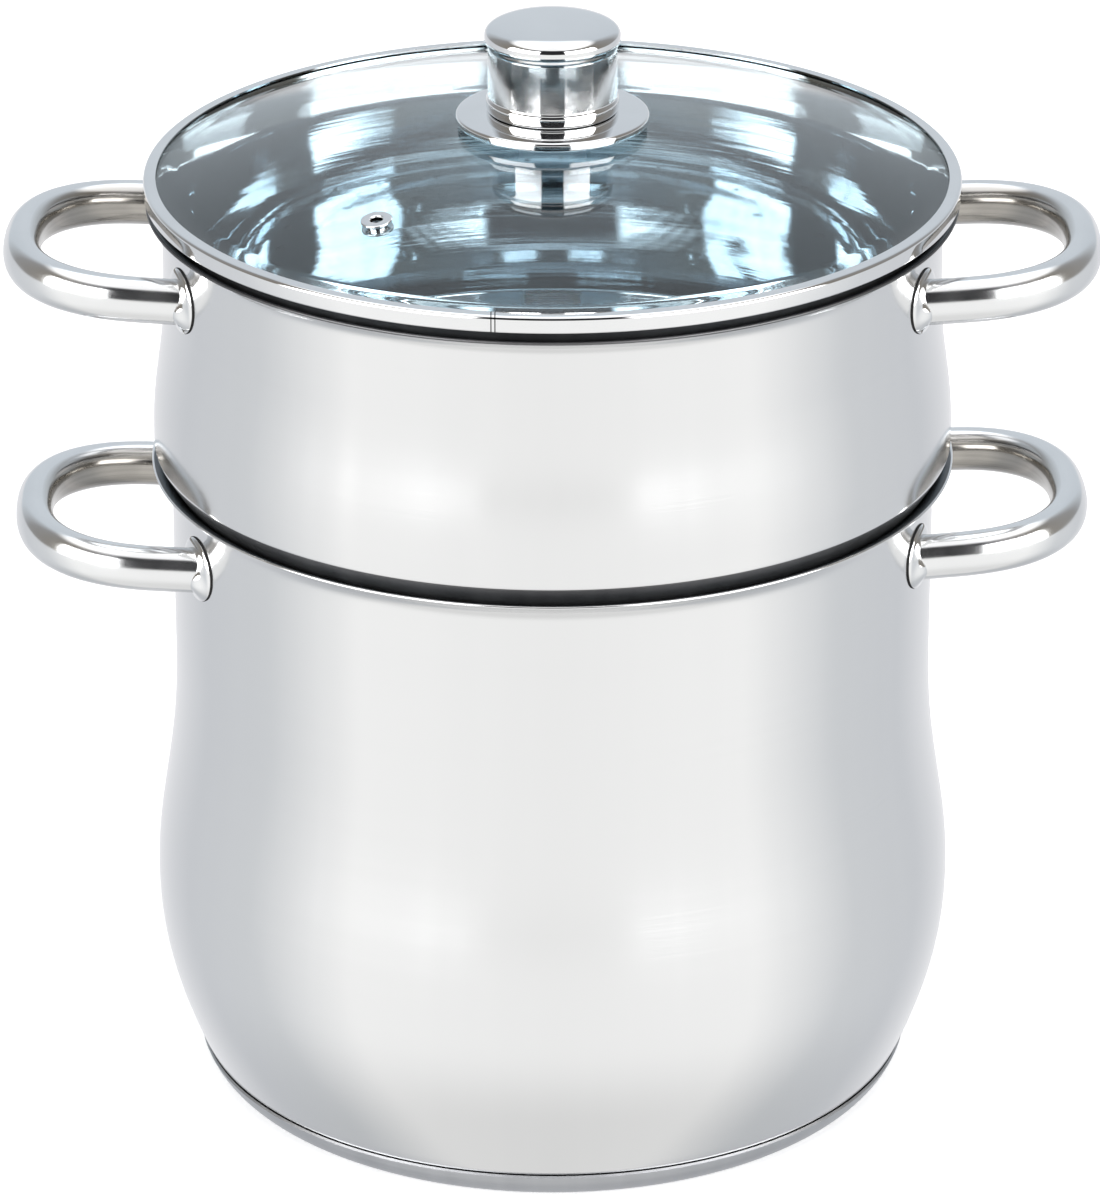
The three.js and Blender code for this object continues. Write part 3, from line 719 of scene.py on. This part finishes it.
band_steel = butted_strip(polished_steel("band_steel", buffed, hazy, 0.03, 0.09))
band_section = joined(
    [(flange_radius - band_sheet, band_low - flange_drop), (flange_radius, band_low - flange_drop)],
    [(flange_radius, seat_low), (seat_radius, band_low)],
    arc(band_radius - band_low_round, band_low + band_low_round, band_low_round, -90, 0, 6),
    arc(band_radius - band_top_round, band_top - band_top_round, band_top_round, 0, 90, 8),
    [(band_radius - band_lip, band_top), (band_radius - band_lip, band_top - band_sheet)],
    [(band_radius - band_sheet, band_top - band_sheet), (band_radius - band_sheet, band_low + band_sheet)],
    [(seat_radius + band_sheet * math.tan(seat_lean) - seat_sheet, band_low + band_sheet)],
    [(flange_radius - band_sheet, seat_inner_low)],
)
# Painted shade on the flange, the leaning step and the band's underside.
hidden_steps = (1, 2, 3)
band_zones = [int(step in hidden_steps) for step in range(len(band_section))]
rim_band = turned("rim_band", band_section, segments=256, zones=band_zones)
for finish in (band_steel, painted_seat_shade_steel):
    rim_band.data.materials.append(finish)
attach(rim_band, "lid")
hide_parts("lid_rim_band")

# Lid glass: one pressed and tempered pane, flat at the edge that the band holds and domed inside it.
# Its faint blue-green tint shows in the body of the glass; it is drilled for the knob's screw and the vent.
glass_radius = 129.183
glass_low = band_low + band_sheet + seat_gap
glass_thickness = 3.7
glass_arris = 0.4
dome_radius = 122.583
dome_foot = glass_low + glass_thickness
dome_rise = 16.9
dome_sphere = (dome_radius ** 2 + dome_rise ** 2) / (2 * dome_rise)
dome_top = dome_foot + dome_rise
dome_centre = dome_top - dome_sphere
knob_hole = 6.0
vent_radius = 87.0
vent_angle = math.radians(231.5)
vent_tilt = math.asin(vent_radius / dome_sphere)
eyelet_tube = 2.9
drill_half = 9


def tinted_glass(name, tint):
    """Clear tempered glass with a slight tint and the faint waviness that tempering leaves."""
    material = bpy.data.materials.new(name)
    material.use_nodes = True
    tree = material.node_tree
    shader = tree.nodes["Principled BSDF"]
    shader.inputs["Transmission Weight"].default_value = 1.0
    shader.inputs["IOR"].default_value = 1.5
    place = wire(tree, "ShaderNodeTexCoord").outputs["Object"]
    waves = wire(tree, "ShaderNodeTexNoise", {"Vector": place, "Scale": 22.0, "Detail": 1.0})
    shade = tuple(0.96 * c for c in tint)
    tree.links.new(mixed(tree, waves.outputs[0], shade, tint), shader.inputs["Base Color"])
    gloss = wire(tree, "ShaderNodeMapRange", {0: waves.outputs[0], 1: 0.3, 2: 0.7, 3: 0.0, 4: 0.02})
    tree.links.new(gloss.outputs[0], shader.inputs["Roughness"])
    bump = wire(tree, "ShaderNodeBump", {"Strength": 0.03, "Distance": 0.0004, "Height": waves.outputs[0]})
    tree.links.new(bump.outputs[0], shader.inputs["Normal"])
    return material


def dome(sphere, outer, inner, steps):
    """A run of the dome's curve, from the outer radius to the inner one."""
    start, end = (math.degrees(math.acos(r / sphere)) for r in (outer, inner))
    return arc(0, dome_centre, sphere, start, end, steps)


pane = turned("glass_blank", joined(
    [(glass_radius, glass_low + glass_arris), (glass_radius, dome_foot - glass_arris)],
    [(glass_radius - glass_arris, dome_foot)],
    dome(dome_sphere, dome_radius, knob_hole, 30),
    dome(dome_sphere - glass_thickness, dome_radius, knob_hole, 30)[::-1],
    [(glass_radius - glass_arris, glass_low)],
))
vent_place = Matrix.Translation((0, 0, dome_centre * mm)) @ Matrix.Rotation(vent_angle, 4, "Z")
vent_place = vent_place @ Matrix.Rotation(vent_tilt, 4, "Y") @ Matrix.Translation((0, 0, dome_sphere * mm))
drill_reach = eyelet_tube + seat_gap
drill = turned("vent_drill", [
    (0, -drill_half), (drill_reach, -drill_half), (drill_reach, drill_half), (0, drill_half),
], segments=32, ring=False)
drill.data.transform(vent_place)
drilling = pane.modifiers.new("drill", "BOOLEAN")
drilling.object = drill
drilled = bpy.data.meshes.new_from_object(pane.evaluated_get(bpy.context.evaluated_depsgraph_get()))
for blank in (pane, drill):
    bpy.data.objects.remove(blank)
glass = placed("lid_pane", drilled)
glass.data.materials.clear()
glass.data.materials.append(tinted_glass("tinted_glass", (0.79, 0.87, 0.9)))
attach(glass, "lid")
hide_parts("lid_glass")

# Vent eyelet: a small steel tube flared over both faces of the glass, which lets the steam out.
# It is pressed from thin polished sheet and clenched in place like a rivet.
eyelet_flange = 5.0
eyelet_bore = 2.0
eyelet_sheet = 0.8
mouth_bend = 0.5
eyelet_low = -glass_thickness - seat_gap - eyelet_sheet
eyelet_high = seat_gap + eyelet_sheet
eyelet_edge = eyelet_sheet / 2
eyelet = turned("vent_eyelet", joined(
    arc(eyelet_bore + mouth_bend, eyelet_low + mouth_bend, mouth_bend, 180, 270, 4),
    arc(eyelet_flange - eyelet_edge, eyelet_low + eyelet_edge, eyelet_edge, -90, 90, 6),
    [(eyelet_tube, eyelet_low + eyelet_sheet), (eyelet_tube, seat_gap)],
    arc(eyelet_flange - eyelet_edge, seat_gap + eyelet_edge, eyelet_edge, -90, 90, 6),
    arc(eyelet_bore + mouth_bend, eyelet_high - mouth_bend, mouth_bend, 90, 180, 4),
), segments=48)
eyelet.data.transform(vent_place)
eyelet.data.materials.append(mirror_steel)
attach(eyelet, "lid")
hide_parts("lid_vent_eyelet")

# Gaskets: two washers of clear white silicone, one above the glass and one below it.
# They keep the steel off the glass where the knob's screw pulls it tight.
gasket_radius = 11.0
gasket_bore = 4.0
gasket_edge = 0.4
upper_gasket_low = dome_top + seat_gap
upper_gasket_high = upper_gasket_low + 2.8
lower_gasket_high = dome_top - glass_thickness - seat_gap
lower_gasket_low = lower_gasket_high - 1.5


def washer(name, bore, radius, low, high, edge):
    """A ring of square section with its four edges rounded."""
    return turned(name, joined(
        arc(radius - edge, low + edge, edge, -90, 0, 4), arc(radius - edge, high - edge, edge, 0, 90, 4),
        arc(bore + edge, high - edge, edge, 90, 180, 4), arc(bore + edge, low + edge, edge, 180, 270, 4),
    ), segments=64)


silicone = bpy.data.materials.new("silicone")
silicone.use_nodes = True
silicone_tree = silicone.node_tree
silicone_shader = silicone_tree.nodes["Principled BSDF"]
silicone_shader.inputs["Subsurface Weight"].default_value = 0.3
silicone_shader.inputs["Subsurface Scale"].default_value = 0.002
silicone_place = wire(silicone_tree, "ShaderNodeTexCoord").outputs["Object"]
bloom = wire(silicone_tree, "ShaderNodeTexNoise", {"Vector": silicone_place, "Scale": 350.0, "Detail": 4.0})
milky = mixed(silicone_tree, bloom.outputs[0], (0.62, 0.62, 0.6), (0.74, 0.74, 0.72))
silicone_tree.links.new(milky, silicone_shader.inputs["Base Color"])
soft_gloss = wire(silicone_tree, "ShaderNodeMapRange", {
    0: bloom.outputs[0], 1: 0.3, 2: 0.7, 3: 0.45, 4: 0.65,
})
silicone_tree.links.new(soft_gloss.outputs[0], silicone_shader.inputs["Roughness"])
for place, low, high in (
    ("upper", upper_gasket_low, upper_gasket_high), ("lower", lower_gasket_low, lower_gasket_high),
):
    gasket = washer(f"{place}_gasket", gasket_bore, gasket_radius, low, high, gasket_edge)
    gasket.data.materials.append(silicone)
    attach(gasket, "lid")
    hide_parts(f"knob_{place}_gasket")

# Knob skirt: a dish of polished sheet, turned down at its edge, that guards the fingers from the hot glass.
# It is trapped between the knob and the upper gasket.
skirt_radius = 30.7
skirt_top_radius = 21.6
skirt_sheet = 1.2
skirt_slope = 0.9
skirt_drop = 3.9
skirt_hem = 0.6
skirt_hem_rise = 0.4
skirt_inner = skirt_radius - skirt_sheet
skirt_brow_round = 1.0
skirt_low = upper_gasket_high + seat_gap
skirt_top = skirt_low + skirt_sheet
skirt_brow = skirt_top - skirt_slope
skirt_edge = skirt_top - skirt_drop
skirt = turned("knob_dish", joined(
    [(gasket_bore, skirt_low), (skirt_top_radius - skirt_sheet, skirt_low)],
    [(skirt_inner, skirt_brow - skirt_sheet), (skirt_inner, skirt_edge + skirt_hem_rise)],
    arc(skirt_radius - skirt_hem, skirt_edge + skirt_hem, skirt_hem, 200, 360, 8),
    arc(skirt_radius - skirt_brow_round, skirt_brow - skirt_brow_round, skirt_brow_round, 0, 84, 8),
    [(skirt_top_radius, skirt_top), (gasket_bore, skirt_top)],
), segments=128)
skirt.data.materials.append(mirror_steel)
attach(skirt, "lid")
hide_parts("knob_skirt")

# Knob: a hollow cap of polished steel with a low domed top, a short side, a waist and a bead at its foot.
# It is pressed over a threaded boss and sits on the skirt.
knob_low = skirt_top + seat_gap
knob_top = knob_low + 29.49
knob_radius = 21.6
knob_shoulder = knob_top - 5.0
knob_dome_flat = 12.5
knob_dome_brow = knob_top - 0.8
knob_cove = knob_shoulder - 1.0
knob_cove_height = 3.4
knob_waist = 20.5
knob_waist_low = knob_low + 4.8
knob_bead = 21.2
knob_bead_middle = knob_low + 2.8
knob_wall = 1.1
knob_bore = knob_waist - knob_wall
knob_inner_brow = knob_top - 3.4
knob_ceiling = knob_top - 2.2
knob_ceiling_flat = 10
cove_middle = knob_cove - knob_cove_height / 2
knob = turned("knob_shell", joined(
    bezier(
        (0, knob_top), (knob_dome_flat, knob_top),
        (knob_radius, knob_dome_brow), (knob_radius, knob_shoulder), 32,
    ),
    bezier(
        (knob_radius, knob_cove), (knob_radius, cove_middle),
        (knob_waist, cove_middle), (knob_waist, knob_cove - knob_cove_height), 12,
    ),
    bezier(
        (knob_waist, knob_waist_low), (knob_waist, knob_waist_low - 0.9),
        (knob_bead, knob_bead_middle + 1.4), (knob_bead, knob_bead_middle), 8,
    ),
    bezier(
        (knob_bead, knob_bead_middle), (knob_bead, knob_bead_middle - 1.6),
        (knob_bead - 0.2, knob_low), (knob_waist, knob_low), 8,
    ),
    [(knob_bore, knob_low), (knob_bore, knob_shoulder)],
    bezier(
        (knob_bore, knob_shoulder), (knob_bore, knob_inner_brow),
        (knob_ceiling_flat, knob_ceiling), (0, knob_ceiling), 10,
    ),
), segments=128, ring=False)
knob.data.materials.append(mirror_steel)
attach(knob, "lid")
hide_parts("knob_cap")

# Boss: a cast aluminium insert pressed into the hollow knob, tapped for the screw.
# It is out of sight behind the skirt, so it keeps the frame's own mesh under the cast grain.
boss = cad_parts["knob_boss"]
boss.data.materials.clear()
boss.data.materials.append(aluminium)

# Screw and washer: a pan-head steel screw from below, with a cross recess, over a flat steel washer.
# Together they clamp the glass between the gaskets and draw the knob down on its skirt.
screw_radius = 3.0
head_radius = 5.6
head_height = 3.0
head_flat = 1.6
head_crown = 4.4
screw_end = knob_low + 10
screw_bevel = 0.4
recess_width = 1.1
recess_length = 5.4
recess_depth = 1.6
washer_radius = 9.0
washer_edge = 0.2
washer_high = lower_gasket_low - seat_gap
washer_low = washer_high - 1.0
head_high = washer_low - seat_gap
head_low = head_high - head_height
fastener_steel = spun_steel("fastener_steel", (0.72, 0.72, 0.73), (0.6, 0.6, 0.61), 0.2, 0.32, 0.3, 0.3)
screw = turned("pan_head_screw", joined(
    [(0, head_low)],
    bezier(
        (head_flat, head_low), (head_crown, head_low),
        (head_radius, head_low + 0.8), (head_radius, head_high - 0.4), 10,
    ),
    [(head_radius - 0.3, head_high), (screw_radius, head_high)],
    [(screw_radius, screw_end - screw_bevel), (screw_radius - screw_bevel, screw_end), (0, screw_end)],
), segments=64, ring=False)
recess = bmesh.new()
at_head = Matrix.Translation((0, 0, head_low * mm))
for width, length in ((recess_width, recess_length), (recess_length, recess_width)):
    blade = Matrix.Diagonal((width * mm, length * mm, 2 * recess_depth * mm, 1))
    bmesh.ops.create_cube(recess, size=1, matrix=at_head @ blade)
driver_mesh = bpy.data.meshes.new("cross_driver")
recess.to_mesh(driver_mesh)
recess.free()
driver = bpy.data.objects.new("cross_driver", driver_mesh)
bpy.context.scene.collection.objects.link(driver)
cut = screw.modifiers.new("recess", "BOOLEAN")
cut.object = driver
cut.use_self = True
recessed = bpy.data.meshes.new_from_object(screw.evaluated_get(bpy.context.evaluated_depsgraph_get()))
for blank in (screw, driver):
    bpy.data.objects.remove(blank)
screw = placed("pan_head_screw", recessed)
flat_washer = washer(
    "flat_washer", screw_radius + seat_gap, washer_radius, washer_low, washer_high, washer_edge,
)
for fastener, node in ((screw, "knob_screw"), (flat_washer, "knob_screw_washer")):
    fastener.data.materials.clear()
    fastener.data.materials.append(fastener_steel)
    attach(fastener, "lid")
    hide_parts(node)

# Studio: a plain pale floor under a soft white tent, with two large soft boxes beside the camera.
# The tent is a world of soft zones: bright boxes, a dark gap between them, a grey-blue back and a bright top.
floor_half = 4
floor_mesh = bpy.data.meshes.new("studio_floor")
floor_mesh.from_pydata([
    (-floor_half, -floor_half, 0), (floor_half, -floor_half, 0),
    (floor_half, floor_half, 0), (-floor_half, floor_half, 0),
], [], [(0, 1, 2, 3)])
floor = bpy.data.objects.new("studio_floor", floor_mesh)
bpy.context.scene.collection.objects.link(floor)
floor.visible_glossy = False
floor_paint = bpy.data.materials.new("floor_paint")
floor_paint.use_nodes = True
floor_tree = floor_paint.node_tree
floor_shader = floor_tree.nodes["Principled BSDF"]
floor_place = wire(floor_tree, "ShaderNodeTexCoord").outputs["Object"]
mottle = wire(floor_tree, "ShaderNodeTexNoise", {"Vector": floor_place, "Scale": 3.0, "Detail": 2.0})
pale = mixed(floor_tree, mottle.outputs[0], (0.93, 0.93, 0.93), (0.95, 0.95, 0.95))
floor_tree.links.new(pale, floor_shader.inputs["Base Color"])
floor_shader.inputs["Roughness"].default_value = 0.9
floor_shader.inputs["Emission Color"].default_value = (1, 1, 1, 1)
floor_shader.inputs["Emission Strength"].default_value = 0.3
floor_mesh.materials.append(floor_paint)

tent = bpy.data.worlds.new("tent")
tent.use_nodes = True
bpy.context.scene.world = tent
sky = tent.node_tree
sky.nodes.clear()
towards = wire(sky, "ShaderNodeTexCoord").outputs["Generated"]
x, y, z = wire(sky, "ShaderNodeSeparateXYZ", {0: towards}).outputs
from_front = maths(sky, "ARCTAN2", maths(sky, "ABSOLUTE", x), maths(sky, "MULTIPLY", y, -1.0))
height = maths(sky, "ARCSINE", z)


def fade(value, start, end, low, high):
    """Go smoothly from low to high as an angle passes from start to end, in degrees."""
    return wire(sky, "ShaderNodeMapRange", {
        "Value": value, 1: math.radians(start), 2: math.radians(end), 3: low, 4: high,
    }, interpolation_type="SMOOTHSTEP").outputs[0]


def zone_colours(stops):
    """Colours by the angle from the camera's side, in degrees, as one ramp."""
    ramp = wire(sky, "ShaderNodeValToRGB", {0: maths(sky, "DIVIDE", from_front, math.pi)})
    keys = ramp.color_ramp.elements
    for key, (angle, colour) in zip(keys, stops):
        key.position, key.color = angle / 180, (*colour, 1)
    for angle, colour in stops[2:]:
        keys.new(angle / 180).color = (*colour, 1)
    return ramp.outputs[0]


walls = zone_colours([
    (0, (0.025, 0.025, 0.027)), (19, (0.025, 0.025, 0.027)), (25, (0.22, 0.22, 0.23)),
    (80, (0.24, 0.22, 0.19)), (125, (0.3, 0.3, 0.3)), (150, (0.6, 0.65, 0.7)), (180, (0.64, 0.69, 0.74)),
])
table = zone_colours([
    (0, (1.0, 1.0, 0.99)), (60, (1.04, 1.04, 1.03)), (95, (0.71, 0.73, 0.75)), (130, (0.66, 0.68, 0.71)),
    (180, (0.92, 0.92, 0.94)),
])
top_light = fade(height, 48, 60, 0.0, 1.1)
dimmed = wire(sky, "ShaderNodeVectorMath", {0: walls, 1: top_light}, operation="ADD").outputs[0]
box_brightness = 5.0
box_light = fade(from_front, 20, 24, 0.0, box_brightness)
for edge in (
    fade(from_front, 76, 80, 1.0, 0.0), fade(height, -5, -2, 0.0, 1.0), fade(height, 34, 38, 1.0, 0.0),
):
    box_light = maths(sky, "MULTIPLY", box_light, edge)
lit = wire(sky, "ShaderNodeVectorMath", {0: dimmed, 1: box_light}, operation="ADD").outputs[0]
foot_dimming = fade(height, -62, -30, 0.8, 1.0)
dim_table = wire(sky, "ShaderNodeVectorMath", {0: table, "Scale": foot_dimming}, operation="SCALE").outputs[0]
table_edge = fade(from_front, 100, 125, math.radians(-3), 0.0)
above = fade(maths(sky, "SUBTRACT", height, table_edge), -1.5, 3, 0.0, 1.0)
around = wire(sky, "ShaderNodeMix", {
    0: above, 6: dim_table, 7: lit,
}, data_type="RGBA", clamp_result=False, clamp_factor=True)
shine = wire(sky, "ShaderNodeBackground", {0: around.outputs[2], 1: 1.0})
plain = wire(sky, "ShaderNodeBackground", {0: (1, 1, 1, 1), 1: 1.0})
seen = wire(sky, "ShaderNodeLightPath").outputs["Is Camera Ray"]
shown = wire(sky, "ShaderNodeMixShader", {0: seen, 1: shine.outputs[0], 2: plain.outputs[0]})
wire(sky, "ShaderNodeOutputWorld", {0: shown.outputs[0]})
bpy.context.scene.view_settings.view_transform = "Standard"

# Camera: a long lens in front of the pot, a little above it, at the photograph's angle.
# It stands 2.0 m away and 1.03 m up, and looks down so that the lid shows as a narrow oval.
lens = bpy.data.cameras.new("long_lens")
lens.lens = 201.0
lens.sensor_width = 36.0
lens.shift_x = -0.0021
camera = bpy.data.objects.new("camera", lens)
camera.location = (0, -2.0, 1.034)
camera.rotation_euler = (math.radians(66.41), 0, 0)
bpy.context.scene.collection.objects.link(camera)
bpy.context.scene.camera = camera
